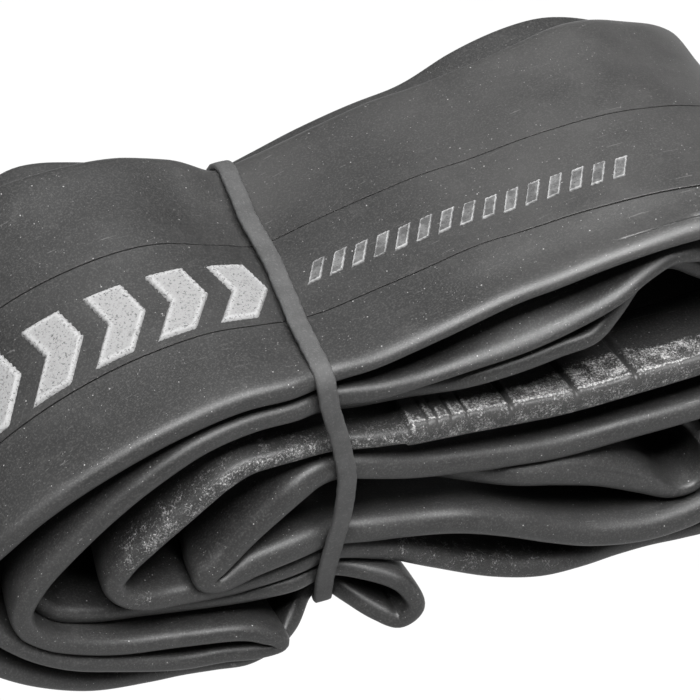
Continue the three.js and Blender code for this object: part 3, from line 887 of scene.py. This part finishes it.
def butyl_material():
    """Black rubber with a faint bloom, a painted sheen on the top strand, fine dust and short scratches, and
    talc where it is left.
    """
    paint = Paint("butyl", 0.45)
    shade = paint.ramp(paint.noise(0.06, 4), 0.3, 0.7)
    base = paint.mix(shade, grey(0.014), grey(0.019))
    grain = paint.ramp(paint.noise(3.2, 3, 0.7), 0.45, 0.7)
    grainy = paint.mix(paint.times(grain, 0.7), base, grey(0.055, 0.02))
    cloud = paint.ramp(paint.noise(0.3, 5, 0.65), 0.52, 0.8)
    bloom = paint.mix(paint.times(cloud, 0.22), grainy, grey(0.07, 0.02))
    # Painted sheen on the top strand and a talc haze on the splice's front edge, both lightening the rubber.
    sheen_and_haze_mask = paint.times(paint.attribute("painted_sheen_and_haze"), paint.ramp(paint.noise(0.09, 4, 0.55), 0.0, 0.75))
    with_sheen_and_haze = paint.mix(paint.times(sheen_and_haze_mask, 0.42), bloom, grey(0.06, 0.02))
    fine_dust = paint.times(paint.specks(0.8, 0.085), paint.ramp(paint.noise(0.4, 3), 0.42, 0.58))
    dust = paint.plus(fine_dust, paint.specks(2.4, 0.14))
    scratch = paint.ramp(paint.noise(1.2, 2, 0.5, (0.1, 2.2, 0.6)), 0.72, 0.76)
    marks = paint.plus(paint.times(dust, 0.6), paint.times(scratch, 0.12))
    dusty = paint.mix(marks, with_sheen_and_haze, grey(0.40, 0.01))
    # The talc mask also carries a painted highlight just after the splice's overlap.
    talc_and_highlight = paint.attribute("talc_and_highlight")
    clumps = paint.noise(0.5, 5, 0.7, (0.9, 1.0, 1.0))
    fine = paint.noise(3.0, 5, 0.8, (1.1, 1.0, 1.0))
    spread = paint.plus(paint.times(clumps, 0.45), paint.times(fine, 0.65))
    amount = paint.plus(talc_and_highlight, paint.times(paint.math("SUBTRACT", spread, 0.55), 3.4))
    cover = paint.times(paint.ramp(talc_and_highlight, 0.02, 0.2), paint.ramp(amount, 0.44, 0.8))
    talc = paint.mix(paint.ramp(paint.noise(2.8, 5, 0.75), 0.4, 0.66), grey(0.085), grey(0.46, 0.01))
    paint.colour(paint.mix(cover, dusty, talc))
    dull = paint.plus(paint.times(cover, 0.7), paint.times(shade, 0.3))
    paint.roughness(dull, 0.43, 0.75)
    paint.bump(paint.noise(2.8, 4, 0.65), 0.02)
    paint.bump(cover, 0.06)
    return paint.material


def chalk_material():
    """Raised marks rubbed with chalk: speckled on the flat, bright on the rims and thin on the worn ones."""
    paint = Paint("chalk", 0.85)
    rim = paint.attribute("rim")
    worn = paint.attribute("worn")
    pits = paint.ramp(paint.noise(2.6, 5, 0.75), 0.36, 0.47)
    patch = paint.ramp(paint.noise(0.4, 5, 0.7), 0.3, 0.62)
    thick = paint.times(pits, paint.ramp(patch, -0.6, 0.3))
    rubbed = paint.plus(paint.times(rim, 0.5), paint.times(patch, 0.5))
    thin = paint.ramp(rubbed, 0.1, 1.1)
    cover = paint.mix(worn, thick, thin)
    white = paint.mix(rim, grey(0.21), grey(0.29))
    paint.colour(paint.mix(cover, grey(0.05), white))
    paint.bump(paint.noise(2.6, 5, 0.75), 0.08)
    return paint.material


def band_material():
    paint = Paint("band_rubber", 0.75)
    shade = paint.ramp(paint.noise(0.25, 5, 0.6), 0.3, 0.75)
    base = paint.mix(shade, grey(0.045), grey(0.062))
    grain = paint.ramp(paint.noise(2.2, 5, 0.75), 0.5, 0.75)
    paint.colour(paint.mix(paint.times(grain, 0.6), base, grey(0.13)))
    paint.bump(paint.noise(3.0, 4, 0.65), 0.05)
    paint.bump(paint.noise(0.9, 3, 0.6, (1, 0.4, 0.4)), 0.12)
    return paint.material


def dark_material(name, cloud, specks, greys, dulls, grain):
    """Clouded dark grey with a few specks of dust and a fine grain."""
    paint = Paint(name, sum(dulls) / 2)
    shade = paint.ramp(paint.noise(cloud, 4), 0.3, 0.75)
    dark, light, dust = [grey(value) for value in greys]
    paint.colour(paint.mix(paint.specks(*specks), paint.mix(shade, dark, light), dust))
    paint.roughness(shade, *dulls)
    paint.bump(paint.noise(*grain[:2]), grain[2])
    return paint.material


def seal_rubber_material():
    paint = Paint("seal_rubber", 0.5)
    shade = paint.ramp(paint.noise(0.8, 3), 0.3, 0.7)
    paint.colour(paint.mix(shade, (0.26, 0.035, 0.03, 1), (0.36, 0.06, 0.045, 1)))
    paint.bump(paint.noise(6.0, 2), 0.01)
    return paint.material


def metal_material(name, dark, light, roughness):
    paint = Paint(name, roughness, 1.0)
    shade = paint.noise(0.7, 4, 0.6, (6.0, 0.6, 0.6))
    paint.colour(paint.mix(paint.ramp(shade, 0.3, 0.7), dark, light))
    paint.roughness(shade, roughness - 0.08, roughness + 0.14)
    paint.bump(paint.noise(3.0, 2, 0.5, (8.0, 0.5, 0.5)), 0.01)
    return paint.material


# ---------- stage


LIT_HEIGHT = 30  # what the lights point at, above the table at the band
VIEW = (-22, 42)  # the azimuth and elevation that the camera looks from
VIEWPOINT = (-100.9, -285.5, 307.4)


def build_stage():
    """A white floor, a little brighter to the camera than it is as a light."""
    material = bpy.data.materials.new("white_sweep")
    material.use_nodes = True
    nodes, links = material.node_tree.nodes, material.node_tree.links
    nodes.clear()
    glow = nodes.new("ShaderNodeEmission")
    seen = nodes.new("ShaderNodeMapRange")
    seen.inputs["To Min"].default_value = 0.85
    seen.inputs["To Max"].default_value = 1.02
    camera_ray = nodes.new("ShaderNodeLightPath").outputs["Is Camera Ray"]
    links.new(camera_ray, seen.inputs["Value"])
    links.new(seen.outputs["Result"], glow.inputs["Strength"])
    output = nodes.new("ShaderNodeOutputMaterial")
    links.new(glow.outputs[0], output.inputs[0])
    side, height = 12.0, -0.0002
    corners = [(x * side, y * side, height) for x, y in ((-1, -1), (1, -1), (1, 1), (-1, 1))]
    mesh_object("floor", corners, [(0, 1, 2, 3)], material)


def direction(azimuth, elevation):
    """The way from the object towards an azimuth in degrees (0 is -Y, 90 is +X) and an elevation."""
    turn, tilt = math.radians(azimuth), math.radians(elevation)
    return Vector((math.sin(turn) * math.cos(tilt), -math.cos(turn) * math.cos(tilt), math.sin(tilt)))


def soft_box(name, azimuth, elevation, distance, size, radiance):
    """A rectangular light that points at the bundle from a direction."""
    data = bpy.data.lights.new(name, "AREA")
    data.shape = "RECTANGLE"
    data.size, data.size_y = size
    data.energy = radiance * math.pi * size[0] * size[1]
    towards = direction(azimuth, elevation)
    lamp = new_object(name, data)
    lamp.location = Vector(place([0, 0, LIT_HEIGHT])) + towards * distance
    lamp.rotation_euler = towards.to_track_quat("Z", "Y").to_euler()


def build_lights():
    """A soft key nearly overhead, a low fill from the right and a sheet behind for the top to reflect."""
    world = bpy.data.worlds.new("studio")
    bpy.context.scene.world = world
    world.use_nodes = True
    background = world.node_tree.nodes["Background"]
    background.inputs["Color"].default_value = (1, 1, 1, 1)
    background.inputs["Strength"].default_value = 0.02
    soft_box("key", 6, 72, 0.9, (0.9, 0.45), 20)
    soft_box("front_fill", 30, 10, 1.2, (1.2, 0.4), 0.5)
    soft_box("back_sheet", 170, 42, 1.3, (1.6, 1.0), 0.65)


def build_camera():
    data = bpy.data.cameras.new("camera")
    data.lens = 135
    data.sensor_width = 36
    data.clip_start = 0.01
    camera = new_object("camera", data)
    camera.location = place(VIEWPOINT)
    camera.rotation_euler = direction(*VIEW).to_track_quat("Z", "Y").to_euler()
    bpy.context.scene.camera = camera


# ---------- assembly


def attach(piece, body, slot_name, *nodes):
    """The piece rides on a body and stands for the nodes; slot_name is not used."""
    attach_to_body(piece, body)
    if nodes:
        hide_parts(*nodes)


def repaint(material, *nodes):
    """Give CAD nodes that stay a finished material."""
    for name in nodes:
        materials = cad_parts[name].data.materials
        materials.clear()
        materials.append(material)


bpy.context.scene.view_settings.view_transform = "Standard"
build_stage()
build_lights()
build_camera()

tube = Tube()
attach(tube.build(butyl_material()), "tube", "butyl", "tube_body")
attach(build_marks(tube, chalk_material()), "tube", "butyl")
attach(build_band(tube, band_material()), "tube", "band_rubber", "rubber_band")

rubber = dark_material("stem_rubber", 0.25, (2.4, 0.07), (0.022, 0.036, 0.3), (0.48, 0.66), (4, 2, 0.015))
cap_plastic = dark_material("cap_plastic", 0.5, (2.2, 0.06), (0.014, 0.024, 0.25), (0.36, 0.5), (5, 3, 0.012))
brass = metal_material("brass", (0.55, 0.38, 0.16, 1), (0.72, 0.54, 0.27, 1), 0.3)
steel = metal_material("steel", (0.42, 0.43, 0.44, 1), (0.6, 0.61, 0.62, 1), 0.28)
seal_rubber = seal_rubber_material()
attach(build_patch(tube, rubber), "tube", "stem_rubber", "valve_patch")
attach(build_stem_cover(rubber), "tube", "stem_rubber", "stem_cover")
attach(build_threaded_insert(brass), "tube", "brass", "stem_insert")
attach(build_cap(cap_plastic), "cap", "cap_plastic", "cap_shell")
cap_washer = build_ring("cap_washer", 0.6, 3.7, 34.9, 35.7, seal_rubber)
attach(cap_washer, "cap_seat", "seal_rubber", "cap_gasket")
cup_washer = build_ring("cup_washer", 0.9, 1.7, 15.9, 17.2, seal_rubber)
attach(cup_washer, "pin", "seal_rubber", "cup_seal")
coil = build_spring(steel)
attach(coil, "tube", "steel", "core_spring")
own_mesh(coil)
repaint(brass, "core_barrel", "core_plug", "pin_cup")
repaint(steel, "core_pin")
repaint(seal_rubber, "barrel_gasket")
